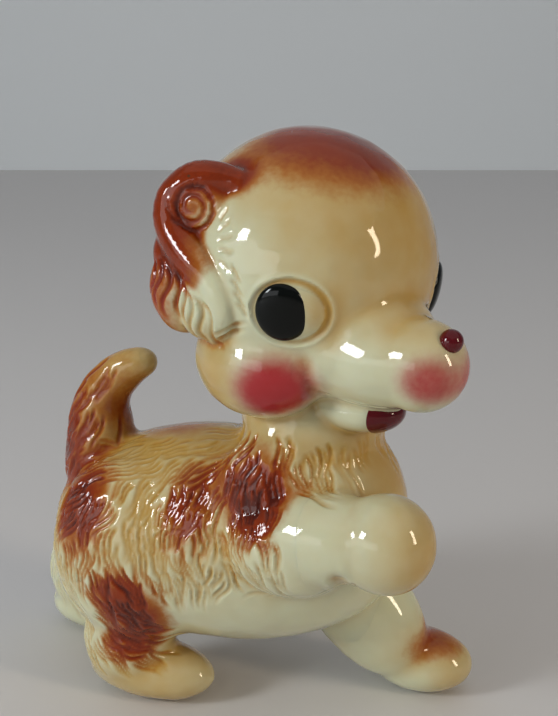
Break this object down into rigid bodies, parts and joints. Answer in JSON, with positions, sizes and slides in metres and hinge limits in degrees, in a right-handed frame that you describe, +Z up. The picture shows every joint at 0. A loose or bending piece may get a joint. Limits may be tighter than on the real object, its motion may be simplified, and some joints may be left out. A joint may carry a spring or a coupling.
{
  "type": "ceramic dog figurine",
  "caption": "Standing puppy figurine in glazed earthenware, head turned, right forepaw lifted, hollow torso and head with limbs, ears, tail and face pieces luted on.",
  "frame": {"origin": "middle of the bounding box's bottom face, on the shelf that the feet stand on", "axes": "+X forwards along the spine, +Y to the dog's left, +Z up"},
  "size_m": [0.0988, 0.0536, 0.1128],
  "materials": {
    "body_glaze": "high gloss ivory glaze with honey pooling and airbrushed red-brown patches",
    "ear_glaze": "high gloss glaze, airbrushed red-brown to pinkish brown",
    "tail_glaze": "high gloss glaze, airbrushed brown hair strokes and an ochre tip",
    "burgundy_glaze": "high gloss burgundy",
    "black_glaze": "high gloss black"
  },
  "bodies": {
    "root": {"torso_casting": "body_glaze", "head_casting": "body_glaze", "lower_jaw": "body_glaze", "tongue": "burgundy_glaze", "nose_bead": "burgundy_glaze", "right_eyeball": "body_glaze", "left_eyeball": "body_glaze", "right_pupil": "black_glaze", "left_pupil": "black_glaze", "right_ear": "ear_glaze", "left_ear": "ear_glaze", "right_hind_leg": "body_glaze", "left_hind_leg": "body_glaze", "standing_left_foreleg": "body_glaze", "raised_right_foreleg": "body_glaze", "tail": "tail_glaze"}
  },
  "joints": []
}
